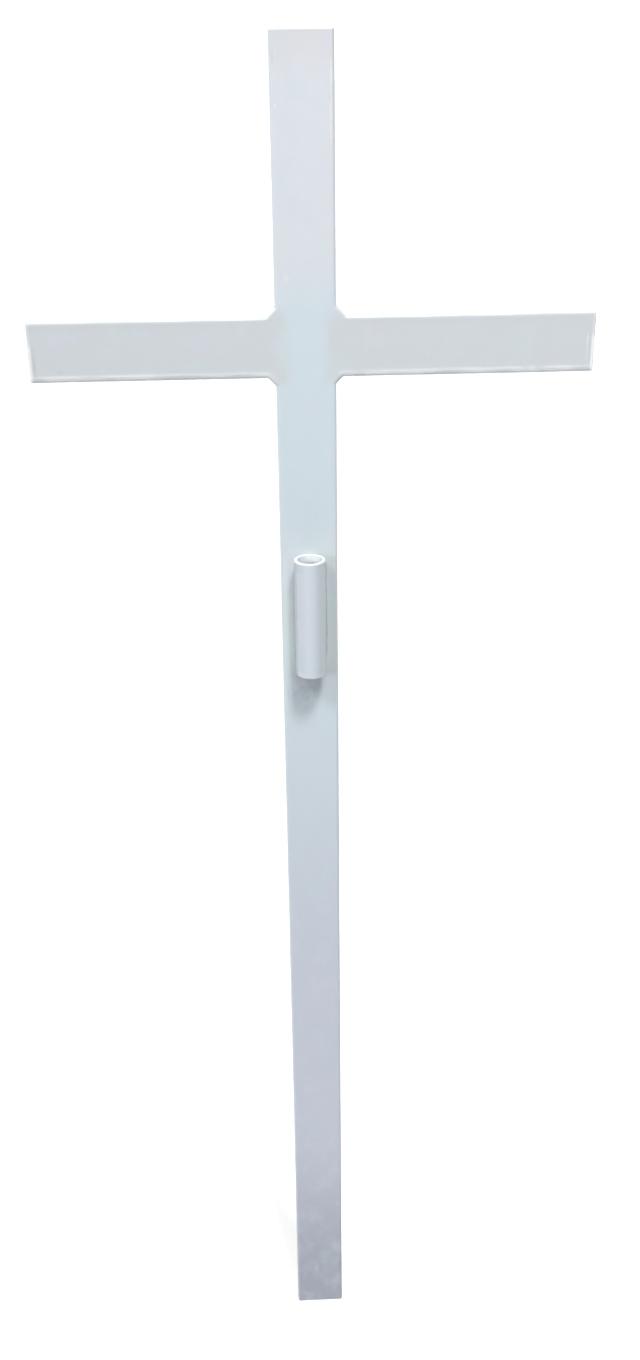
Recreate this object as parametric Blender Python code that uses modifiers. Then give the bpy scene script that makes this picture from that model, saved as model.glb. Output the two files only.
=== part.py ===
"""Grave cross: a Latin cross welded from flat steel bar, painted white,
with a short pipe welded on the front of the post to hold flowers.

Metres, +Z up along the post, front face towards -Y, +X to the right as
seen from the front. The origin is the middle of the post's foot, where
the cross is set in the ground.
"""

import math

import bmesh
import bpy

# Flat bar that the post and both arms are cut from.
BAR_WIDTH = 0.050
BAR_THICKNESS = 0.012
EDGE_RADIUS = 0.003
EDGE_SEGMENTS = 4

# Lengths, measured from the foot and from the post's middle line.
POST_LENGTH = 1.320
CROSSING_HEIGHT = 1.083
LEFT_REACH = 0.2255
RIGHT_REACH = 0.2375

# Length of post, beyond each edge of the arms, whose edges stay square.
SQUARE_MARGIN = 0.011

# Legs of the four corner welds, and their shape.
LEFT_WELD_ABOVE = 0.0070
LEFT_WELD_BELOW = 0.0065
RIGHT_WELD_ABOVE = 0.0080
RIGHT_WELD_BELOW = 0.0055
CORNER_WELD_DEPTH = 0.0090
CORNER_WELD_SINK = 0.0015
CORNER_WELD_HOLLOW = 0.08

# Beads left standing on the back, along the joint of post and arm.
BEAD_LENGTH = 0.041
BEAD_WIDTH = 0.0064
BEAD_HEIGHT = 0.0010
BEAD_SINK = 0.0005

# Straight steps in the arc of a weld's section.
WELD_STEPS = 8

# Pipe on the front of the post.
TUBE_DIAMETER = 0.0269
TUBE_WALL = 0.0026
TUBE_LENGTH = 0.108
TUBE_TOP_BELOW_CROSSING = 0.178
TUBE_SIDES = 48
TUBE_RIM_RADIUS = 0.0006
TUBE_RIM_SEGMENTS = 2

# Weld metal behind the pipe: a wedge that is a little narrower in front.
SEAM_WIDTH = 0.019
SEAM_RISE = 0.0045
SEAM_TAPER = 0.86
SEAM_END_GAP = 0.004
SEAM_BEHIND_TUBE = 0.0002

# Space kept between pieces that touch.
GAP = 0.0003

# How far a cutter runs past the piece that it cuts.
CUTTER_MARGIN = 0.020

# Points closer than this are one point.
MERGE_DISTANCE = 0.00001

# Edges that turn more than this are left sharp, in degrees.
SHARP_ANGLE = 35.0

# White paint: linear colour, roughness and metallic value.
PAINT_COLOUR = (0.72, 0.75, 0.78, 1.0)
PAINT_ROUGHNESS = 0.28
PAINT_METALLIC = 0.0

FRONT_Y = -BAR_THICKNESS / 2
BACK_Y = BAR_THICKNESS / 2
HALF_WIDTH = BAR_WIDTH / 2
ARM_ROOT = HALF_WIDTH + GAP


def clear_scene():
    """Remove whatever the file starts with."""
    for thing in list(bpy.data.objects):
        bpy.data.objects.remove(thing, do_unlink=True)


def new_collection(name):
    """A collection linked to the scene."""
    collection = bpy.data.collections.new(name)
    bpy.context.scene.collection.children.link(collection)
    return collection


def paint(name):
    """White enamel for one piece."""
    material = bpy.data.materials.new(name)
    material.use_nodes = True
    shader = material.node_tree.nodes["Principled BSDF"]
    shader.inputs["Base Color"].default_value = PAINT_COLOUR
    shader.inputs["Roughness"].default_value = PAINT_ROUGHNESS
    shader.inputs["Metallic"].default_value = PAINT_METALLIC
    return material


def finish(thing):
    """Give a piece its paint and smooth its round faces."""
    thing.data.materials.append(paint("paint_" + thing.name))
    thing.data.shade_smooth()
    thing.data.set_sharp_from_angle(angle=math.radians(SHARP_ANGLE))


def new_object(name, shape, place, collection):
    """Turn a bmesh into an object that stands at a place."""
    mesh = bpy.data.meshes.new(name)
    shape.to_mesh(mesh)
    shape.free()
    thing = bpy.data.objects.new(name, mesh)
    thing.location = place
    collection.objects.link(thing)
    return thing


def combine(target, tool, operation):
    """Join a tool to a piece, or cut it away, and keep the tool hidden."""
    modifier = target.modifiers.new(operation.lower() + "_" + tool.name, "BOOLEAN")
    modifier.operation = operation
    modifier.solver = "EXACT"
    modifier.object = tool
    tool.hide_render = True
    tool.display_type = "WIRE"


def box_shape(low, high):
    """A box between two corners."""
    shape = bmesh.new()
    bmesh.ops.create_cube(shape, size=1.0)
    for vertex in shape.verts:
        for axis in range(3):
            vertex.co[axis] = low[axis] if vertex.co[axis] < 0 else high[axis]
    return shape


def bar(name, reach, place, collection):
    """Flat bar from its square cut end, at a place, to its rounded far end.

    reach is the way from the cut end to the far end, along X or along Z.
    """
    along = 0 if reach[0] else 2
    half = [HALF_WIDTH, BACK_Y, HALF_WIDTH]
    half[along] = 0.0
    low = [min(0.0, way) - side for way, side in zip(reach, half)]
    high = [max(0.0, way) + side for way, side in zip(reach, half)]
    shape = box_shape(low, high)
    rounded = [
        edge
        for edge in shape.edges
        if any(vertex.co[along] != 0.0 for vertex in edge.verts)
    ]
    bmesh.ops.bevel(
        shape,
        geom=rounded,
        offset=EDGE_RADIUS,
        segments=EDGE_SEGMENTS,
        profile=0.5,
        affect="EDGES",
        clamp_overlap=True,
    )
    return new_object(name, shape, place, collection)


def extrusion(name, outline, thickness, place, turn, collection):
    """A flat outline of (x, y) points, made into a closed mesh of a thickness."""
    curve = bpy.data.curves.new(name + "_outline", "CURVE")
    curve.dimensions = "2D"
    curve.fill_mode = "BOTH"
    curve.extrude = thickness / 2
    spline = curve.splines.new("POLY")
    spline.points.add(len(outline) - 1)
    for point, (x, y) in zip(spline.points, outline):
        point.co = (x, y, 0.0, 1.0)
    spline.use_cyclic_u = True

    source = bpy.data.objects.new(name + "_outline", curve)
    source.location = place
    source.rotation_euler = turn
    collection.objects.link(source)
    bpy.context.view_layer.update()

    graph = bpy.context.evaluated_depsgraph_get()
    mesh = bpy.data.meshes.new_from_object(source.evaluated_get(graph))
    mesh.name = name
    shape = bmesh.new()
    shape.from_mesh(mesh)
    bmesh.ops.remove_doubles(shape, verts=shape.verts, dist=MERGE_DISTANCE)
    bmesh.ops.recalc_face_normals(shape, faces=shape.faces)
    shape.to_mesh(mesh)
    shape.free()

    thing = bpy.data.objects.new(name, mesh)
    thing.matrix_world = source.matrix_world
    collection.objects.link(thing)
    bpy.data.objects.remove(source, do_unlink=True)
    return thing


def corner_weld(name, side, vertical, leg, collection):
    """Hollow-faced weld metal in one inner corner of the crossing.

    side is -1 for the left arm and 1 for the right one; vertical is 1 above
    the arm and -1 below it. One leg runs along the arm and the other up the
    post, and the face between them is a shallow arc.
    """
    chord = leg + CORNER_WELD_SINK
    outline = [(0.0, -vertical * CORNER_WELD_SINK)]
    for step in range(WELD_STEPS + 1):
        share = step / WELD_STEPS
        bow = chord * CORNER_WELD_HOLLOW * math.sin(math.pi * share) * math.sqrt(0.5)
        along = chord * (1 - share) - bow
        up = chord * share - bow - CORNER_WELD_SINK
        outline.append((side * along, vertical * up))
    corner = (side * ARM_ROOT, 0.0, CROSSING_HEIGHT + vertical * HALF_WIDTH)
    upright = (math.radians(90), 0.0, 0.0)
    return extrusion(name, outline, CORNER_WELD_DEPTH, corner, upright, collection)


def back_bead(name, side, collection):
    """A low round bead on the back, half on the arm and half over the post."""
    rise = BEAD_HEIGHT + BEAD_SINK
    last_angle = math.pi - math.asin((GAP + BEAD_SINK) / rise)
    outline = [(0.0, GAP), (0.0, -BEAD_SINK)]
    for step in range(WELD_STEPS + 1):
        angle = last_angle * step / WELD_STEPS
        outward = side * BEAD_WIDTH / 2 * math.cos(angle)
        outline.append((outward, rise * math.sin(angle) - BEAD_SINK))
    joint = (side * ARM_ROOT, BACK_Y, CROSSING_HEIGHT)
    return extrusion(name, outline, BEAD_LENGTH, joint, (0.0, 0.0, 0.0), collection)


def make_post(parts, tools):
    """The upright bar, left square-edged where the arms are welded on."""
    post = bar("post", (0.0, 0.0, POST_LENGTH), (0.0, 0.0, 0.0), parts)
    half = HALF_WIDTH + SQUARE_MARGIN
    block = box_shape((-HALF_WIDTH, FRONT_Y, -half), (HALF_WIDTH, BACK_Y, half))
    square = new_object("square_length", block, (0.0, 0.0, CROSSING_HEIGHT), tools)
    combine(post, square, "UNION")
    finish(post)
    return post


def make_arm(name, side, reach, above, below, parts, tools):
    """One arm with its two corner welds and the bead on its back."""
    root = (side * ARM_ROOT, 0.0, CROSSING_HEIGHT)
    arm = bar(name, (side * (reach - ARM_ROOT), 0.0, 0.0), root, parts)
    combine(arm, corner_weld(name + "_weld_above", side, 1, above, tools), "UNION")
    combine(arm, corner_weld(name + "_weld_below", side, -1, below, tools), "UNION")
    combine(arm, back_bead(name + "_bead", side, tools), "UNION")
    finish(arm)
    return arm


def cylinder(name, radius, length, place, collection):
    """An upright cylinder around the pipe's axis."""
    shape = bmesh.new()
    bmesh.ops.create_cone(
        shape,
        cap_ends=True,
        segments=TUBE_SIDES,
        radius1=radius,
        radius2=radius,
        depth=length,
    )
    return new_object(name, shape, place, collection)


def seam_wedge(middle_z, collection):
    """Weld metal that fills the two narrow angles behind the pipe."""
    half_width = SEAM_WIDTH / 2
    half_length = TUBE_LENGTH / 2 - SEAM_END_GAP
    shape = box_shape((-half_width, -SEAM_RISE, -half_length), (half_width, 0.0, half_length))
    for vertex in shape.verts:
        if vertex.co.y < 0.0:
            vertex.co.x *= SEAM_TAPER
    return new_object("tube_seam", shape, (0.0, FRONT_Y - GAP, middle_z), collection)


def make_tube(parts, tools):
    """The pipe, open at both ends, with its weld seams against the post."""
    radius = TUBE_DIAMETER / 2
    top = CROSSING_HEIGHT - TUBE_TOP_BELOW_CROSSING
    middle_z = top - TUBE_LENGTH / 2
    middle = (0.0, FRONT_Y - GAP - SEAM_BEHIND_TUBE - radius, middle_z)

    tube = cylinder("holder_tube", radius, TUBE_LENGTH, middle, parts)
    rim = tube.modifiers.new("rounded_rims", "BEVEL")
    rim.width = TUBE_RIM_RADIUS
    rim.segments = TUBE_RIM_SEGMENTS
    rim.limit_method = "ANGLE"
    rim.angle_limit = math.radians(SHARP_ANGLE)

    combine(tube, seam_wedge(middle_z, tools), "UNION")
    cut_length = TUBE_LENGTH + 2 * CUTTER_MARGIN
    bore = cylinder("tube_bore", radius - TUBE_WALL, cut_length, middle, tools)
    combine(tube, bore, "DIFFERENCE")
    finish(tube)
    return tube


def build():
    """Make the whole cross, with the arms and the pipe fixed to the post."""
    clear_scene()
    parts = new_collection("grave_cross")
    tools = new_collection("cutters")

    post = make_post(parts, tools)
    welded = [
        make_arm("left_arm", -1, LEFT_REACH, LEFT_WELD_ABOVE, LEFT_WELD_BELOW, parts, tools),
        make_arm("right_arm", 1, RIGHT_REACH, RIGHT_WELD_ABOVE, RIGHT_WELD_BELOW, parts, tools),
        make_tube(parts, tools),
    ]
    for piece in welded:
        piece.parent = post


build()
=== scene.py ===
"""Looks of the grave cross: thick white enamel over welded flat bar and a short
pipe, on a pale floor under soft light.

Metres, +Z up along the post, front towards -Y, +X to the right from the front.
"""

import math

import bmesh
import bpy
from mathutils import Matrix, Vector, noise
from mathutils.geometry import delaunay_2d_cdt


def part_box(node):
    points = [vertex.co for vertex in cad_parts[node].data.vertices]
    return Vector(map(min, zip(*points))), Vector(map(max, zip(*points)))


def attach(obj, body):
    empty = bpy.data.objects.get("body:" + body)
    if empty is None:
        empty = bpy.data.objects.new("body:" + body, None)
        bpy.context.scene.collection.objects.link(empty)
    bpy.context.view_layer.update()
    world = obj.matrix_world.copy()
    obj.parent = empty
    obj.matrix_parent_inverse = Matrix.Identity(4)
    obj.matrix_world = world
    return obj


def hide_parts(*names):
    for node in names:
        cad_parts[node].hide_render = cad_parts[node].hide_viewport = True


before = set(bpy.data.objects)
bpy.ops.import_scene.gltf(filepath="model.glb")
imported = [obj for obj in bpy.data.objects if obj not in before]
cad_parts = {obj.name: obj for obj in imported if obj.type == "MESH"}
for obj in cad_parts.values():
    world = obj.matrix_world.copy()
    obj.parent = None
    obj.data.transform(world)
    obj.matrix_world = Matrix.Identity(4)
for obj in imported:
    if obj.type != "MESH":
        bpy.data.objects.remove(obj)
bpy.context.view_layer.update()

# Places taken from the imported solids.
POST_LOW, POST_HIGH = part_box("post")
PIPE_LOW, PIPE_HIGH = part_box("holder_tube")
LEFT_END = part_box("left_arm")[0].x
RIGHT_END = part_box("right_arm")[1].x
FRONT = POST_LOW.y
THICKNESS = POST_HIGH.y - POST_LOW.y
HALF_WIDTH = (POST_HIGH.x - POST_LOW.x) / 2
POST_TOP = POST_HIGH.z
CROSSING = 1.083

# Corner welds, along their legs, and the radius that blends them in.
LEFT_ABOVE, LEFT_BELOW = 0.0070, 0.0065
RIGHT_ABOVE, RIGHT_BELOW = 0.0080, 0.0055
WELD_BLEND = 0.0025

# Edges of the painted bar.
CORNER_RADIUS = 0.0018
CORNER_GROWTH = 0.7
EDGE_RADIUS = 0.0022
SAWN_EDGE = 0.4
CORNER_STEPS = 6
EDGE_STEPS = 6
SIDE_STEPS = 4
OUTLINE_STEP = 0.0023
FACE_INSETS = (0.0066, 0.0056, 0.0048, 0.0041, 0.0034, 0.0028)
GRID_STEP = 0.004
GRID_MARGIN = 0.0015
FOOT_RUN = 0.016

# Edges that turn more than this are left sharp.
SHARP_ANGLE = math.radians(40)

# Unevenness of the paint and of the steel under it.
FACE_SINK = 0.00018
FACE_WAVE = 0.00022
EDGE_WAVE = 0.00035
ROUND_WAVE = 0.00050
RIDGE_HEIGHT = 0.00007
RIDGE_INSET = 0.0041
RIDGE_WIDTH = 0.0010
LOWER_RIDGE = 0.00026
END_RIDGE = 0.00020
GROUND_DISH = 0.00012

# Weld beads on the back, left as they were laid.
BEAD_PLACE = 0.02515
BEAD_HALF_LENGTH = 0.0205
BEAD_HALF_WIDTH = 0.0032
BEAD_HEIGHT = 0.00092
BEAD_RIPPLE = 0.00016
BEAD_PITCH = 0.0024
BEAD_GRID = 0.0008
BEAD_GRID_MARGIN = 0.0015

# The pipe and the weld metal beside it.
PIPE_OUTER = 0.0269 / 2
PIPE_INNER = PIPE_OUTER - 0.0026
PIPE_AXIS_Y = PIPE_LOW.y + PIPE_OUTER
BACK_POINTS = 6
SEAM_POINTS = 16
FRONT_POINTS = 56
PIPE_STEP = 0.0016
PIPE_INSIDE_STEP = 0.004
RIM_OUTER_RADIUS = 0.0009
RIM_INNER_RADIUS = 0.0006
RIM_STEPS = 4
PLATE_DEPTH = FRONT - PIPE_AXIS_Y + 0.0004
SEAM_WIDTH = 0.0162
SEAM_WAVE = 0.0012
SEAM_TOP = ((0.002, 0.020), (0.002, 0.010))
SEAM_FOOT = 0.012
SEAM_FLATNESS = (0.35, 0.75)
SEAM_START_ANGLE = math.radians(35)
SEAM_END_ANGLE = math.radians(70)

# Surroundings: half the floor's width, and the brightness of the sky.
FLOOR_REACH = 400.0
FLOOR_GLOW = 0.22
SKY_LEAST = 0.08
SKY_BEHIND = 0.72
SKY_STRAIGHT_BEHIND = 0.50

# Distant lamps: degrees to the right of straight in front, degrees up, power.
DISTANT_LAMPS = (
    (18, 62, 2.00),
    (-40, 50, 0.75),
    (-70, 50, 0.54),
    (-40, 15, 0.56),
)
DISTANT_SPREAD = math.radians(10)

# Lamps near the camera, around a place on the post, in the same terms.
NEAR_LAMPS = (
    (0, 40, 11.6),
    (18, 20, 7.3),
)
NEAR_TARGET = Vector((0.0, 0.0, 0.95))
NEAR_DISTANCE = 1.35
NEAR_RADIUS = 0.10

# The cap on light from below, which reaches under the arms.
SKY_BELOW = 1.5

# Enamel, as linear colours, and the heights between which one blends into the next.
HEAD_TINT = (0.700, 0.712, 0.745)
UPPER_TINT = (0.710, 0.748, 0.797)
MIDDLE_TINT = (0.650, 0.742, 0.797)
# The two darker tints below, blended in towards the ground, are painted shade.
LOWER_SHADE_TINT = (0.605, 0.648, 0.742)
FOOT_SHADE_TINT = (0.402, 0.430, 0.512)
POST_BLENDS = (
    (0.80, 0.42, LOWER_SHADE_TINT),
    (0.27, 0.03, FOOT_SHADE_TINT),
    (1.10, 1.16, UPPER_TINT),
    (1.284, 1.306, HEAD_TINT),
)
ARM_TINT = (0.634, 0.671, 0.700)
PLATE_TINT = (0.640, 0.715, 0.735)
# Pale tint: thick paint in places, and a painted highlight on rounded edges, rims and pale marks.
THICK_PAINT_AND_HIGHLIGHT_TINT = (0.800, 0.825, 0.850)
# Painted highlight along the arms' sawn ends.
RIM_HIGHLIGHT_TINT = (0.900, 0.905, 0.930)
PIPE_TINT = (0.600, 0.665, 0.725)
# Lighter front of the pipe: painted highlight.
PIPE_FRONT_HIGHLIGHT_TINT = (0.650, 0.715, 0.775)
# Darker crease beside the pipe: painted shade.
CREASE_SHADE_TINT = (0.490, 0.545, 0.585)
# Pale bore near the mouth: painted light; darker deeper in: painted shade.
BORE_LIGHT_TINT = (0.850, 0.880, 0.900)
DEEP_SHADE_TINT = (0.540, 0.575, 0.600)
STAIN_TINT = (0.455, 0.470, 0.480)
# Painted shadow below the pipe.
PAINTED_SHADOW_TINT = (0.440, 0.490, 0.555)
GREEN_CAST = (0.600, 0.735, 0.740)
VIOLET_CAST = (0.690, 0.690, 0.820)

# Where painted shade darkens the crease beside the pipe, measured from the pipe's axis.
CREASE_STARTS = (0.0108, 0.0128)
CREASE_ENDS = (0.0150, 0.0165)

# Small marks on the front: across, height, half width, half height, tint, strength.
MARKS = (
    (-0.0221, 1.3000, 0.0008, 0.0055, STAIN_TINT, 0.40),
    (-0.0206, 1.2666, 0.0013, 0.0020, THICK_PAINT_AND_HIGHLIGHT_TINT, 0.70),
    # These two pale marks beside the head's right edge are painted highlights.
    (0.0221, 1.2860, 0.0011, 0.0150, THICK_PAINT_AND_HIGHLIGHT_TINT, 0.80),
    (0.0219, 1.2560, 0.0016, 0.0200, THICK_PAINT_AND_HIGHLIGHT_TINT, 0.60),
    (-0.0155, 1.1380, 0.0024, 0.0030, THICK_PAINT_AND_HIGHLIGHT_TINT, 0.55),
    (-0.2205, 1.0760, 0.0013, 0.0170, STAIN_TINT, 0.40),
    (-0.2000, 1.0668, 0.0055, 0.0011, STAIN_TINT, 0.35),
    # The pale marks at the right arm's end and along the arms' lower edges are painted highlights.
    (0.2311, 1.0790, 0.0010, 0.0140, THICK_PAINT_AND_HIGHLIGHT_TINT, 0.60),
    (0.1860, 1.0618, 0.0045, 0.0040, THICK_PAINT_AND_HIGHLIGHT_TINT, 0.55),
    (0.2000, 1.0618, 0.0085, 0.0020, THICK_PAINT_AND_HIGHLIGHT_TINT, 0.70),
    (-0.1360, 1.0618, 0.0200, 0.0020, THICK_PAINT_AND_HIGHLIGHT_TINT, 0.60),
    (0.0540, 1.0613, 0.0080, 0.0010, THICK_PAINT_AND_HIGHLIGHT_TINT, 0.70),
    # This dark mark below the pipe is a painted shadow.
    (-0.0075, 0.7690, 0.0125, 0.0125, PAINTED_SHADOW_TINT, 0.42),
)


def wave(place, size, seed):
    """Smooth noise from 0 to 1 whose features have a size."""
    return 0.5 + 0.5 * noise.noise(place / size + Vector((seed, 2.3 * seed, 0.7)))


def smooth_step(low, high, value):
    """0 below low, 1 above high and an even blend between."""
    share = min(1.0, max(0.0, (value - low) / (high - low)))
    return share * share * (3 - 2 * share)


def link(name, shape):
    """A smooth-shaded object from a bmesh."""
    mesh = bpy.data.meshes.new(name)
    shape.to_mesh(mesh)
    shape.free()
    mesh.shade_smooth()
    mesh.set_sharp_from_angle(angle=SHARP_ANGLE)
    thing = bpy.data.objects.new(name, mesh)
    bpy.context.scene.collection.objects.link(thing)
    return thing


def cross_corners():
    """Corners of the cross seen from the front, counter-clockwise.

    Each is x, z, the radius, and how round the edge that follows it is: an
    edge at a sawn end is sharper than the rolled edges of the bar.
    """
    half = HALF_WIDTH
    top = CROSSING + half
    bottom = CROSSING - half
    return [
        (half, -FOOT_RUN, 0.0, 1.0),
        (half, bottom - RIGHT_BELOW, WELD_BLEND, 1.0),
        (half + RIGHT_BELOW, bottom, WELD_BLEND, 1.0),
        (RIGHT_END, bottom, CORNER_RADIUS, SAWN_EDGE),
        (RIGHT_END, top, CORNER_RADIUS, 1.0),
        (half + RIGHT_ABOVE, top, WELD_BLEND, 1.0),
        (half, top + RIGHT_ABOVE, WELD_BLEND, 1.0),
        (half, POST_TOP, CORNER_RADIUS, SAWN_EDGE),
        (-half, POST_TOP, CORNER_RADIUS, 1.0),
        (-half, top + LEFT_ABOVE, WELD_BLEND, 1.0),
        (-half - LEFT_ABOVE, top, WELD_BLEND, 1.0),
        (LEFT_END, top, CORNER_RADIUS, SAWN_EDGE),
        (LEFT_END, bottom, CORNER_RADIUS, 1.0),
        (-half - LEFT_BELOW, bottom, WELD_BLEND, 1.0),
        (-half, bottom - LEFT_BELOW, WELD_BLEND, 1.0),
        (-half, -FOOT_RUN, 0.0, 1.0),
    ]


class Corner:
    """One corner of the outline, rounded, which can be moved inwards."""

    def __init__(self, before, here, after):
        self.place = Vector(here[:2])
        way_in = (self.place - Vector(before[:2])).normalized()
        way_out = (Vector(after[:2]) - self.place).normalized()
        self.first = Vector((-way_in.y, way_in.x))
        last = Vector((-way_out.y, way_out.x))
        between = self.first.dot(last)
        self.from_first = (self.first - between * last) / (1 - between**2)
        self.from_last = (last - between * self.first) / (1 - between**2)
        self.share_in, self.share_out = before[3], here[3]
        self.turn = math.atan2(way_in.x * way_out.y - way_in.y * way_out.x, way_in.dot(way_out))
        self.radius = math.copysign(here[2], self.turn)

    def points(self, inset):
        """Points round the corner, each with the way inwards."""
        radius = self.radius - inset
        if self.turn > 0:
            radius = max(radius, CORNER_GROWTH * inset)
        beside = (self.share_in * inset + radius) * self.from_first
        centre = self.place + beside + (self.share_out * inset + radius) * self.from_last
        made = []
        for step in range(CORNER_STEPS + 1):
            angle = self.turn * step / CORNER_STEPS
            spin = complex(*self.first) * complex(math.cos(angle), math.sin(angle))
            inward = Vector((spin.real, spin.imag))
            made.append((centre - radius * inward, inward))
        return made


def ring(corners, inset):
    """The whole outline moved inwards, always with the same number of points."""
    made = []
    for corner, following in zip(corners, corners[1:] + corners[:1]):
        points = corner.points(inset)
        made += points
        start, inward = points[-1]
        end = following.points(inset)[0][0]
        plain_start = corner.points(0.0)[-1][0]
        plain_end = following.points(0.0)[0][0]
        count = max(1, round((plain_end - plain_start).length / OUTLINE_STEP))
        for step in range(1, count):
            made.append((start.lerp(end, step / count), inward))
    return made


def bead_height(x, z):
    """Height of the weld beads left standing on the back."""
    across = (abs(x) - BEAD_PLACE) / BEAD_HALF_WIDTH
    along = (z - CROSSING) / BEAD_HALF_LENGTH
    if abs(across) >= 1 or abs(along) >= 1:
        return 0.0
    crown = math.sqrt(1 - across * across) * math.sqrt(1 - abs(along) ** 8)
    lag = 0.35 * BEAD_PITCH * across * across
    ripple = 0.5 + 0.5 * math.sin(2 * math.pi * (z + lag) / BEAD_PITCH)
    uneven = 0.85 + 0.15 * wave(Vector((x, 0, z)), 0.007, 5)
    return crown * (BEAD_HEIGHT * uneven - BEAD_RIPPLE * ripple)


def face_depth(x, z, front):
    """How far the painted face lies behind the plane of the steel."""
    place = Vector((x, 0.0 if front else 1.0, z))
    depth = FACE_SINK + FACE_WAVE * wave(place, 0.085, 1) ** 2
    depth += 0.25 * FACE_WAVE * wave(place, 0.022, 2)
    joint = math.exp(-(((abs(x) - HALF_WIDTH) / 0.007) ** 2))
    near = smooth_step(0.034, 0.024, abs(z - CROSSING))
    depth += GROUND_DISH * joint * near * wave(place, 0.012, 3)
    return depth if front else depth - bead_height(x, z)


def ridge(inset, inward, place):
    """Paint that has drawn back from the edge stands in a low ridge.

    It gathers along lower edges, in runs, and along the sawn ends of the arms.
    """
    runs = smooth_step(0.35, 0.60, wave(place, 0.030, 14)) * smooth_step(0.6, 1.0, inward.y)
    ends = smooth_step(0.8, 1.0, abs(inward.x)) * smooth_step(0.10, 0.20, abs(place.x))
    height = RIDGE_HEIGHT + LOWER_RIDGE * runs + END_RIDGE * ends * wave(place, 0.012, 15)
    return height * math.exp(-(((inset - RIDGE_INSET) / RIDGE_WIDTH) ** 2))


def cross_section():
    """Rings from the front face round to the back: inset, depth, angle, front."""
    half = [(inset, 0.0, 0.0) for inset in FACE_INSETS]
    for step in range(EDGE_STEPS + 1):
        angle = math.pi / 2 * step / EDGE_STEPS
        inset = EDGE_RADIUS * (1 - math.sin(angle))
        half.append((inset, EDGE_RADIUS * (1 - math.cos(angle)), angle))
    front = [(*row, True) for row in half]
    flat = THICKNESS - 2 * EDGE_RADIUS
    side = [
        (0.0, EDGE_RADIUS + flat * step / SIDE_STEPS, math.pi / 2, True)
        for step in range(1, SIDE_STEPS)
    ]
    back = [(*row, False) for row in reversed(half)]
    return front + side + back


def ring_place(point, inward, inset, depth, angle, front):
    """Where one point of a ring lies once the surface is uneven."""
    along = Vector((point.x, 0.0 if front else 0.6, point.y))
    slack = EDGE_WAVE * wave(along, 0.060, 11) ** 2 + 0.3 * EDGE_WAVE * wave(along, 0.014, 12)
    slack *= smooth_step(FACE_INSETS[0], 0.0, inset)
    worn = ROUND_WAVE * math.sin(2 * angle) * wave(along, 0.035, 13) / math.sqrt(2)
    moved = point + (slack + worn) * inward
    if depth < THICKNESS / 2 or not front:
        sunk = face_depth(moved.x, moved.y, front) - ridge(inset, inward, along)
        depth += max(0.0, sunk) * math.cos(angle) + worn
    y = FRONT + depth if front else FRONT + THICKNESS - depth
    return Vector((moved.x, y, moved.y))


def inside(x, z, margin):
    """Whether a place is on the flat of the post or of the arms."""
    reach = HALF_WIDTH - margin
    on_post = abs(x) < reach and z < POST_TOP - margin
    on_arms = abs(z - CROSSING) < reach and LEFT_END + margin < x < RIGHT_END - margin
    return on_post or on_arms


def near_bead(x, z):
    """Whether a place is in the fine part of the back."""
    beside = abs(abs(x) - BEAD_PLACE) < BEAD_HALF_WIDTH + BEAD_GRID_MARGIN
    beside_run = abs(z - CROSSING) < BEAD_HALF_LENGTH + BEAD_GRID_MARGIN
    return beside and beside_run


def span(low, high, step):
    """Even places from low to high."""
    count = max(1, round(abs(high - low) / step))
    return [low + (high - low) * index / count for index in range(count + 1)]


def grid_points(front):
    """Places spread over a face, closer together around the beads on the back."""
    margin = FACE_INSETS[0] + GRID_MARGIN
    made = []
    for z in span(-FOOT_RUN + margin, POST_TOP - margin, GRID_STEP):
        for x in span(LEFT_END + margin, RIGHT_END - margin, GRID_STEP):
            if inside(x, z, margin) and (front or not near_bead(x, z)):
                made.append(Vector((x, z)))
    if front:
        return made
    reach = BEAD_HALF_WIDTH + BEAD_GRID_MARGIN
    run = min(BEAD_HALF_LENGTH + BEAD_GRID_MARGIN, HALF_WIDTH - margin)
    for side in (-1, 1):
        for x in span(side * BEAD_PLACE - reach, side * BEAD_PLACE + reach, BEAD_GRID):
            made += [Vector((x, z)) for z in span(CROSSING - run, CROSSING + run, BEAD_GRID)]
    return made


def fill_face(shape, edge, front):
    """Close the innermost ring of one face with a fine net of triangles."""
    flat = [Vector((vertex.co.x, vertex.co.z)) for vertex in edge]
    borders = [(index, (index + 1) % len(flat)) for index in range(len(flat))]
    points = flat + grid_points(front)
    placed, _, faces, sources, _, _ = delaunay_2d_cdt(points, borders, [], 1, 1e-7)
    vertices = []
    for place, source in zip(placed, sources):
        on_edge = [index for index in source if index < len(flat)]
        if on_edge:
            vertices.append(edge[on_edge[0]])
            continue
        depth = face_depth(place.x, place.y, front)
        y = FRONT + depth if front else FRONT + THICKNESS - depth
        vertices.append(shape.verts.new((place.x, y, place.y)))
    for face in faces:
        corners = [vertices[index] for index in face]
        if len(set(corners)) == 3:
            shape.faces.new(corners if front else corners[::-1])


def cut_foot(shape):
    """Saw the foot off square at the ground and close it."""
    everything = shape.verts[:] + shape.edges[:] + shape.faces[:]
    bmesh.ops.bisect_plane(
        shape,
        geom=everything,
        plane_co=(0.0, 0.0, 0.0),
        plane_no=(0.0, 0.0, 1.0),
        clear_inner=True,
    )
    rim = [edge for edge in shape.edges if edge.is_boundary]
    closed = bmesh.ops.holes_fill(shape, edges=rim, sides=0)["faces"]
    bmesh.ops.triangulate(shape, faces=closed)


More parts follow.
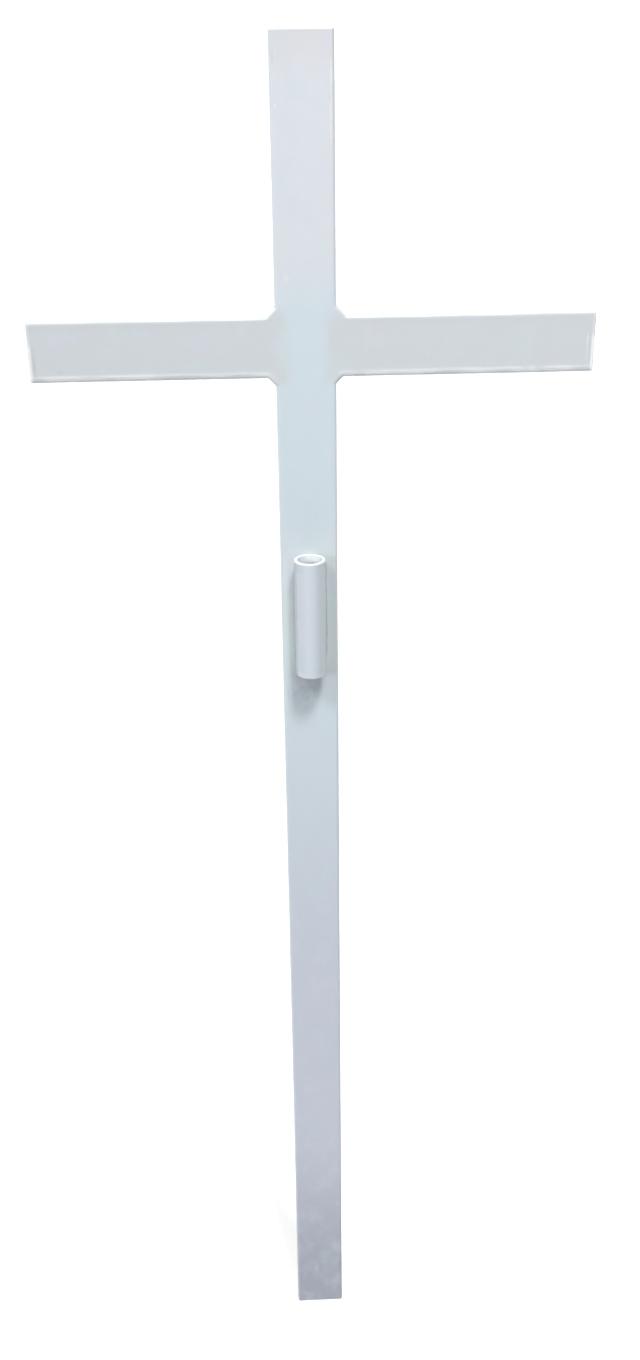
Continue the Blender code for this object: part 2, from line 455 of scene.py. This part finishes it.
def make_cross():
    """Post and arms as one seamless painted piece."""
    rows = cross_corners()
    corners = [
        Corner(before, here, after)
        for before, here, after in zip(rows[-1:] + rows[:-1], rows, rows[1:] + rows[:1])
    ]
    shape = bmesh.new()
    loops = []
    for inset, depth, angle, front in cross_section():
        loop = [
            shape.verts.new(ring_place(point, inward, inset, depth, angle, front))
            for point, inward in ring(corners, inset)
        ]
        loops.append(loop)
    for loop, following in zip(loops, loops[1:]):
        for index in range(len(loop)):
            after = (index + 1) % len(loop)
            shape.faces.new((loop[index], following[index], following[after], loop[after]))
    fill_face(shape, loops[0], True)
    fill_face(shape, loops[-1], False)
    bmesh.ops.remove_doubles(shape, verts=shape.verts, dist=2e-6)
    cut_foot(shape)
    bmesh.ops.recalc_face_normals(shape, faces=shape.faces)
    return link("painted_cross", shape)


def seam_growth(side, z):
    """Share of its full size that the weld metal has at one height."""
    start, full = SEAM_TOP[side > 0]
    above_foot = z - PIPE_LOW.z
    return smooth_step(start, full, PIPE_HIGH.z - z) * smooth_step(0.0, SEAM_FOOT, above_foot)


def seam_contour(side, z):
    """Face of the weld metal at its full size, from the back to the pipe's side.

    Points are (sideways, towards the post) from the pipe's axis. The face
    runs between a flat and an arc that touches post and pipe.
    """
    place = Vector((side, 0.0, z))
    width = SEAM_WIDTH - SEAM_WAVE * wave(place, 0.011, 21)
    width -= 0.4 * SEAM_WAVE * wave(place, 0.004, 22)
    hollow = (width**2 + PLATE_DEPTH**2 - PIPE_OUTER**2) / (2 * (PIPE_OUTER + PLATE_DEPTH))
    centre = Vector((width, PLATE_DEPTH - hollow))
    touch = math.atan2(centre.x, centre.y)
    toe = Vector((width, PLATE_DEPTH))
    top = PIPE_OUTER * Vector((math.sin(touch), math.cos(touch)))
    flatness = SEAM_FLATNESS[side > 0]
    made = [Vector((width * step / BACK_POINTS, PLATE_DEPTH)) for step in range(BACK_POINTS)]
    for step in range(SEAM_POINTS):
        share = step / SEAM_POINTS
        turn = (math.pi - touch) * share
        arc = centre + hollow * Vector((-math.sin(turn), math.cos(turn)))
        made.append(arc.lerp(toe.lerp(top, share), flatness))
    for step in range(FRONT_POINTS + 1):
        angle = touch + (math.pi - touch) * step / FRONT_POINTS
        made.append(PIPE_OUTER * Vector((math.sin(angle), math.cos(angle))))
    return made


def plain_half(radius):
    """Half a round ring, from the middle of the back to the middle of the front."""
    steps = (BACK_POINTS, SEAM_POINTS, FRONT_POINTS)
    limits = (0.0, SEAM_START_ANGLE, SEAM_END_ANGLE, math.pi)
    angles = [0.0]
    for count, low, high in zip(steps, limits, limits[1:]):
        angles += span(low, high, (high - low) / count)[1:]
    return [radius * Vector((math.sin(angle), math.cos(angle))) for angle in angles]


def half_contour(side, z):
    """Painted outside of the pipe at one height, weld metal included."""
    growth = seam_growth(side, z)
    settled = smooth_step(0.0, 0.35, growth)
    made = []
    for plain, full in zip(plain_half(PIPE_OUTER), seam_contour(side, z)):
        across = plain.x + (full.x - plain.x) * growth
        made.append(Vector((across, plain.y + (full.y - plain.y) * settled)))
    return made


def both_halves(right, left):
    """A closed loop round the axis from its two halves, back to front."""
    return right[:-1] + [Vector((-point.x, point.y)) for point in reversed(left[1:])]


def outside_loop(inset, z):
    """One ring of the pipe's outside, moved towards the axis."""
    loop = both_halves(half_contour(1, z), half_contour(-1, z))
    return [point - inset * point.normalized() for point in loop]


def bore_loop(inset):
    """One ring of the pipe's bore."""
    half = plain_half(PIPE_INNER + inset)
    return both_halves(half, half)


def rim_arc(radius, rising):
    """Points of a rounded rim: how far in from the wall, and from the end."""
    made = []
    for step in range(RIM_STEPS + 1):
        angle = math.pi / 2 * step / RIM_STEPS
        made.append((radius * (1 - math.cos(angle)), radius * (1 - math.sin(angle))))
    return made if rising else made[::-1]


def pipe_rows():
    """Rings of the pipe, up its outside and down its bore: inset, height, outside."""
    low, high = PIPE_LOW.z, PIPE_HIGH.z
    outer, inner = RIM_OUTER_RADIUS, RIM_INNER_RADIUS
    rows = [(inset, low + drop, True) for inset, drop in rim_arc(outer, False)]
    rows += [(0.0, z, True) for z in span(low + outer, high - outer, PIPE_STEP)[1:-1]]
    rows += [(inset, high - drop, True) for inset, drop in rim_arc(outer, True)]
    rows += [(inset, high - drop, False) for inset, drop in rim_arc(inner, False)]
    rows += [(0.0, z, False) for z in span(high - inner, low + inner, PIPE_INSIDE_STEP)[1:-1]]
    rows += [(inset, low + drop, False) for inset, drop in rim_arc(inner, True)]
    return rows


def make_pipe():
    """The short pipe with the weld metal that runs down both its sides."""
    shape = bmesh.new()
    loops = []
    for inset, z, outside in pipe_rows():
        points = outside_loop(inset, z) if outside else bore_loop(inset)
        loops.append([shape.verts.new((x, PIPE_AXIS_Y + y, z)) for x, y in points])
    for loop, following in zip(loops, loops[1:] + loops[:1]):
        for index in range(len(loop)):
            after = (index + 1) % len(loop)
            shape.faces.new((loop[index], loop[after], following[after], following[index]))
    bmesh.ops.recalc_face_normals(shape, faces=shape.faces)
    return link("painted_pipe", shape)


class Paint:
    """The nodes of one enamel."""

    def __init__(self, name):
        self.material = bpy.data.materials.new(name)
        self.material.use_nodes = True
        self.tree = self.material.node_tree
        self.shader = self.tree.nodes["Principled BSDF"]
        self.place = self.tree.nodes.new("ShaderNodeTexCoord").outputs["Object"]
        split = self.tree.nodes.new("ShaderNodeSeparateXYZ")
        self.tree.links.new(self.place, split.inputs["Vector"])
        self.x, self.y, self.z = split.outputs

    def put(self, socket, value):
        """Link a socket, or set it."""
        if isinstance(value, bpy.types.NodeSocket):
            self.tree.links.new(value, socket)
        else:
            socket.default_value = value

    def math(self, operation, first, second=0.0):
        """One sum."""
        node = self.tree.nodes.new("ShaderNodeMath")
        node.operation = operation
        self.put(node.inputs[0], first)
        self.put(node.inputs[1], second)
        return node.outputs["Value"]

    def noise(self, sizes, detail, seed):
        """Cloudy noise from 0 to 1, with the size of its features along each axis."""
        node = self.tree.nodes.new("ShaderNodeMapping")
        node.inputs["Location"].default_value = (seed, 1.7 * seed, 0.3 * seed)
        node.inputs["Scale"].default_value = [1 / size for size in sizes]
        self.tree.links.new(self.place, node.inputs["Vector"])
        cloud = self.tree.nodes.new("ShaderNodeTexNoise")
        cloud.inputs["Scale"].default_value = 1.0
        cloud.inputs["Detail"].default_value = detail
        self.tree.links.new(node.outputs["Vector"], cloud.inputs["Vector"])
        return cloud.outputs["Fac"]

    def step(self, value, least, most, low=0.0, high=1.0):
        """Smooth blend from low to high as a value goes from least to most."""
        node = self.tree.nodes.new("ShaderNodeMapRange")
        node.interpolation_type = "SMOOTHSTEP"
        self.put(node.inputs["Value"], value)
        node.inputs["From Min"].default_value = least
        node.inputs["From Max"].default_value = most
        node.inputs["To Min"].default_value = low
        node.inputs["To Max"].default_value = high
        return node.outputs["Result"]

    def blend(self, share, under, over):
        """One colour laid over another."""
        node = self.tree.nodes.new("ShaderNodeMix")
        node.data_type = "RGBA"
        self.put(node.inputs["Factor"], share)
        for name, tint in (("A", under), ("B", over)):
            self.put(node.inputs[name], (*tint, 1.0) if isinstance(tint, tuple) else tint)
        return node.outputs["Result"]

    def clouds(self, tint):
        """Faint stains that lean to green and to violet."""
        green = self.step(self.noise((0.021, 0.021, 0.030), 3.0, 3.1), 0.45, 0.75, 0.0, 0.32)
        violet = self.step(self.noise((0.017, 0.017, 0.026), 3.0, 8.4), 0.48, 0.75, 0.0, 0.32)
        return self.blend(violet, self.blend(green, tint, GREEN_CAST), VIOLET_CAST)

    def dust(self, tint):
        """Fine specks caught in the paint."""
        share = self.step(self.noise((0.0011, 0.0011, 0.0011), 1.0, 5.5), 0.74, 0.82, 0.0, 0.16)
        return self.blend(share, tint, STAIN_TINT)

    def finish(self, tint, strokes):
        """Wire the colour, the gloss and the brushed relief into the shader."""
        links = self.tree.links
        links.new(tint, self.shader.inputs["Base Color"])
        dull = self.noise((0.035, 0.035, 0.050), 4.0, 2.2)
        links.new(self.step(dull, 0.25, 0.75, 0.285, 0.37), self.shader.inputs["Roughness"])
        peel = self.noise((0.0024, 0.0024, 0.0024), 1.0, 6.6)
        relief = self.math("ADD", self.math("MULTIPLY", peel, 0.5), strokes)
        bump = self.tree.nodes.new("ShaderNodeBump")
        bump.inputs["Distance"].default_value = 0.00005
        bump.inputs["Strength"].default_value = 0.8
        links.new(relief, bump.inputs["Height"])
        links.new(bump.outputs["Normal"], self.shader.inputs["Normal"])
        return self.material


def mark_share(paint, mark):
    """How strongly one small mark shows at a place."""
    across, height, half_width, half_height, _, strength = mark
    ragged = paint.math("SUBTRACT", paint.noise((0.0045, 0.0045, 0.0050), 2.0, 9.9), 0.45)
    shift = paint.math("MULTIPLY", ragged, 2.4)
    side = paint.math("DIVIDE", paint.math("SUBTRACT", paint.x, across), half_width)
    rise = paint.math("DIVIDE", paint.math("SUBTRACT", paint.z, height), half_height)
    square = paint.math("ADD", paint.math("MULTIPLY", side, side), paint.math("MULTIPLY", rise, rise))
    near = paint.step(paint.math("ADD", square, shift), 1.5, -0.3, 0.0, strength)
    front = paint.step(paint.y, FRONT + 0.003, FRONT + 0.002)
    return paint.math("MULTIPLY", near, front)


def cross_enamel():
    """White enamel of the post and arms, greyed towards the ground by painted shade, with painted highlights on
    edges and arm ends.
    """
    paint = Paint("enamel_cross")
    drift = paint.math("MULTIPLY", paint.noise((0.02, 0.02, 0.03), 3.0, 1.3), 0.03)
    height = paint.math("ADD", paint.z, paint.math("SUBTRACT", drift, 0.015))
    tint = MIDDLE_TINT
    # Darker tints towards the ground are painted shade.
    for start, end, following in POST_BLENDS:
        share = paint.step(height, min(start, end), max(start, end), *((1.0, 0.0) if start > end else (0.0, 1.0)))
        tint = paint.blend(share, tint, following)
    middle = (PIPE_LOW.z + PIPE_HIGH.z) / 2
    beside_pipe = paint.math("ABSOLUTE", paint.math("SUBTRACT", height, middle))
    tint = paint.blend(paint.step(beside_pipe, 0.085, 0.045), tint, PLATE_TINT)
    outward = paint.math("ABSOLUTE", paint.x)
    outward = paint.math("ADD", outward, paint.math("SUBTRACT", drift, 0.015))
    from_crossing = paint.math("ABSOLUTE", paint.math("SUBTRACT", paint.z, CROSSING))
    level_with_arms = paint.step(from_crossing, 0.036, 0.026)
    flank = paint.math("MULTIPLY", paint.step(outward, 0.009, 0.030), level_with_arms)
    tint = paint.clouds(paint.blend(flank, tint, ARM_TINT))
    on_arm = paint.step(outward, 0.026, 0.038)
    # A broken pale band just above the arms' lower edges: thick paint with a painted highlight on it.
    under_edge = CROSSING - HALF_WIDTH
    lower_edge_band = paint.step(paint.z, under_edge + 0.0075, under_edge + 0.0035)
    runs = paint.step(paint.noise((0.028, 0.010, 0.008), 2.0, 11.2), 0.30, 0.55, 0.15, 0.85)
    thick_and_sheen_band = paint.math("MULTIPLY", paint.math("MULTIPLY", lower_edge_band, on_arm), runs)
    tint = paint.blend(thick_and_sheen_band, tint, THICK_PAINT_AND_HIGHLIGHT_TINT)
    # Pale strips at the arms' sawn ends are painted highlights, stronger lower down.
    right_end_highlight = paint.step(paint.x, RIGHT_END - 0.0036, RIGHT_END - 0.0024)
    left_end_highlight = paint.step(paint.x, LEFT_END + 0.0034, LEFT_END + 0.0022)
    rims = paint.math("ADD", right_end_highlight, left_end_highlight)
    lower = paint.step(paint.math("ADD", paint.z, drift), CROSSING + 0.030, CROSSING + 0.018, 0.25, 1.0)
    tint = paint.blend(paint.math("MULTIPLY", rims, lower), tint, RIM_HIGHLIGHT_TINT)
    # Surfaces turned away from the front, the rounded edges and sides, get the pale tint as a painted highlight,
    # weaker towards the ground.
    turned = paint.tree.nodes.new("ShaderNodeNewGeometry").outputs["Normal"]
    split = paint.tree.nodes.new("ShaderNodeSeparateXYZ")
    paint.tree.links.new(turned, split.inputs["Vector"])
    facing = paint.math("ABSOLUTE", split.outputs["Y"])
    edge_highlight_height = paint.step(paint.z, 0.05, 0.35, 0.25, 0.75)
    sides = paint.math("MULTIPLY", paint.step(facing, 0.92, 0.45), edge_highlight_height)
    tint = paint.blend(sides, tint, THICK_PAINT_AND_HIGHLIGHT_TINT)
    for mark in MARKS:
        tint = paint.blend(mark_share(paint, mark), tint, mark[4])
    upright = paint.noise((0.0022, 0.0022, 0.060), 2.0, 4.4)
    level = paint.noise((0.060, 0.0022, 0.0022), 2.0, 7.7)
    strokes = paint.tree.nodes.new("ShaderNodeMix")
    paint.put(strokes.inputs["Factor"], on_arm)
    paint.put(strokes.inputs["A"], upright)
    paint.put(strokes.inputs["B"], level)
    return paint.finish(paint.dust(tint), strokes.outputs["Result"])


def pipe_enamel():
    """White enamel of the pipe, with painted highlights on its rims and front, painted light in the top of its
    bore, and painted shade deeper in and in the creases.
    """
    paint = Paint("enamel_pipe")
    depth = paint.math("SUBTRACT", paint.y, PIPE_AXIS_Y)
    square = paint.math("ADD", paint.math("MULTIPLY", paint.x, paint.x), paint.math("MULTIPLY", depth, depth))
    middle = (PIPE_OUTER + PIPE_INNER) / 2
    outer = paint.step(paint.math("SQRT", square), middle - 0.0003, middle + 0.0006)
    # The bore is painted pale near the mouth and darker deeper in: painted light and painted shade.
    deep_shade = paint.step(paint.z, PIPE_HIGH.z - 0.0045, PIPE_HIGH.z - 0.0085)
    outward = paint.math("ABSOLUTE", paint.x)
    # The pipe's front is painted lighter than its sides: painted highlight.
    wall = paint.blend(paint.step(outward, 0.0080, 0.0020), PIPE_TINT, PIPE_FRONT_HIGHLIGHT_TINT)
    # A darker strip in the crease where the pipe meets the post: painted shade.
    crease = paint.step(outward, *CREASE_STARTS)
    crease = paint.math("MULTIPLY", crease, paint.step(outward, *reversed(CREASE_ENDS)))
    wall = paint.blend(crease, wall, CREASE_SHADE_TINT)
    tint = paint.clouds(paint.blend(outer, paint.blend(deep_shade, BORE_LIGHT_TINT, DEEP_SHADE_TINT), wall))
    # Pale rims at both ends of the pipe: painted highlights.
    low_rim_highlight = paint.step(paint.z, PIPE_LOW.z + 0.0018, PIPE_LOW.z + 0.0008)
    high_rim_highlight = paint.step(paint.z, PIPE_HIGH.z - 0.0018, PIPE_HIGH.z - 0.0008)
    tint = paint.blend(paint.math("ADD", low_rim_highlight, high_rim_highlight), tint, THICK_PAINT_AND_HIGHLIGHT_TINT)
    strokes = paint.noise((0.0022, 0.0022, 0.040), 2.0, 4.4)
    return paint.finish(paint.dust(tint), strokes)


def make_floor():
    """A wide pale floor."""
    shape = bmesh.new()
    bmesh.ops.create_grid(shape, x_segments=1, y_segments=1, size=FLOOR_REACH)
    floor = link("floor", shape)
    material = bpy.data.materials.new("pale_floor")
    material.use_nodes = True
    shader = material.node_tree.nodes["Principled BSDF"]
    shader.inputs["Base Color"].default_value = (0.88, 0.88, 0.88, 1.0)
    shader.inputs["Roughness"].default_value = 0.9
    shader.inputs["Specular IOR Level"].default_value = 0.0
    shader.inputs["Emission Color"].default_value = (1.0, 1.0, 1.0, 1.0)
    shader.inputs["Emission Strength"].default_value = FLOOR_GLOW
    floor.data.materials.append(material)
    floor.visible_diffuse = False
    floor.visible_shadow = False


def make_world():
    """Soft white light, brightest behind the cross, before a plain white backdrop."""
    world = bpy.data.worlds.new("surroundings")
    bpy.context.scene.world = world
    world.use_nodes = True
    tree = world.node_tree
    background = tree.nodes["Background"]
    background.inputs["Color"].default_value = (1.0, 1.0, 1.0, 1.0)
    place = tree.nodes.new("ShaderNodeTexCoord")
    split = tree.nodes.new("ShaderNodeSeparateXYZ")
    tree.links.new(place.outputs["Generated"], split.inputs["Vector"])
    glow = tree.nodes.new("ShaderNodeMapRange")
    glow.interpolation_type = "SMOOTHSTEP"
    glow.inputs["From Min"].default_value = -0.4
    glow.inputs["From Max"].default_value = 0.4
    glow.inputs["To Min"].default_value = SKY_LEAST
    glow.inputs["To Max"].default_value = SKY_BEHIND
    tree.links.new(split.outputs["Y"], glow.inputs["Value"])
    bright = tree.nodes.new("ShaderNodeMapRange")
    bright.interpolation_type = "SMOOTHSTEP"
    bright.inputs["From Min"].default_value = 0.88
    bright.inputs["From Max"].default_value = 0.95
    bright.inputs["To Max"].default_value = SKY_STRAIGHT_BEHIND
    tree.links.new(split.outputs["Y"], bright.inputs["Value"])
    behind = tree.nodes.new("ShaderNodeMath")
    tree.links.new(glow.outputs["Result"], behind.inputs[0])
    tree.links.new(bright.outputs["Result"], behind.inputs[1])
    below = tree.nodes.new("ShaderNodeMapRange")
    below.interpolation_type = "SMOOTHSTEP"
    below.inputs["From Min"].default_value = -0.75
    below.inputs["From Max"].default_value = -0.97
    below.inputs["To Max"].default_value = SKY_BELOW
    tree.links.new(split.outputs["Z"], below.inputs["Value"])
    total = tree.nodes.new("ShaderNodeMath")
    tree.links.new(behind.outputs["Value"], total.inputs[0])
    tree.links.new(below.outputs["Result"], total.inputs[1])
    seen = tree.nodes.new("ShaderNodeLightPath").outputs["Is Camera Ray"]
    white = tree.nodes.new("ShaderNodeMath")
    white.operation = "MAXIMUM"
    tree.links.new(total.outputs["Value"], white.inputs[0])
    tree.links.new(seen, white.inputs[1])
    tree.links.new(white.outputs["Value"], background.inputs["Strength"])


def heading(azimuth, elevation):
    """Unit way from the cross towards a lamp, from degrees."""
    turn, rise = math.radians(azimuth), math.radians(elevation)
    return Vector((math.sin(turn) * math.cos(rise), -math.cos(turn) * math.cos(rise), math.sin(rise)))


def make_lamp(name, kind, place, way, power, **sizes):
    """One lamp that shines back along its way."""
    data = bpy.data.lights.new(name, kind)
    data.energy = power
    for key, value in sizes.items():
        setattr(data, key, value)
    lamp = bpy.data.objects.new(name, data)
    lamp.location = place
    lamp.rotation_euler = (-way).to_track_quat("-Z", "Y").to_euler()
    bpy.context.scene.collection.objects.link(lamp)


def make_lights():
    """Soft lamps from above and from the left, and a fill beside the camera."""
    for index, (azimuth, elevation, power) in enumerate(DISTANT_LAMPS):
        way = heading(azimuth, elevation)
        make_lamp(f"distant_{index}", "SUN", 3 * way, way, power, angle=DISTANT_SPREAD)
    for index, (azimuth, elevation, power) in enumerate(NEAR_LAMPS):
        way = heading(azimuth, elevation)
        place = NEAR_TARGET + NEAR_DISTANCE * way
        make_lamp(f"near_{index}", "POINT", place, way, power, shadow_soft_size=NEAR_RADIUS)


def make_camera():
    """The photograph's point of view."""
    data = bpy.data.cameras.new("camera")
    data.lens = 37.72
    data.sensor_width = 36.0
    camera = bpy.data.objects.new("camera", data)
    camera.location = (-0.0413, -1.1681, 1.3378)
    camera.rotation_euler = (math.radians(64.505), math.radians(0.6268), math.radians(-2.7364))
    bpy.context.scene.collection.objects.link(camera)
    bpy.context.scene.camera = camera


def finish_piece(piece, material, *nodes):
    """Paint a piece, hang it on the root body and hide the solids it stands for."""
    piece.data.materials.append(material)
    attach(piece, "root")
    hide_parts(*nodes)


def build():
    """Everything in the scene."""
    scene = bpy.context.scene
    scene.view_settings.view_transform = "Standard"
    make_camera()
    make_floor()
    make_world()
    make_lights()
    finish_piece(make_cross(), cross_enamel(), "post", "left_arm", "right_arm")
    finish_piece(make_pipe(), pipe_enamel(), "holder_tube")


build()
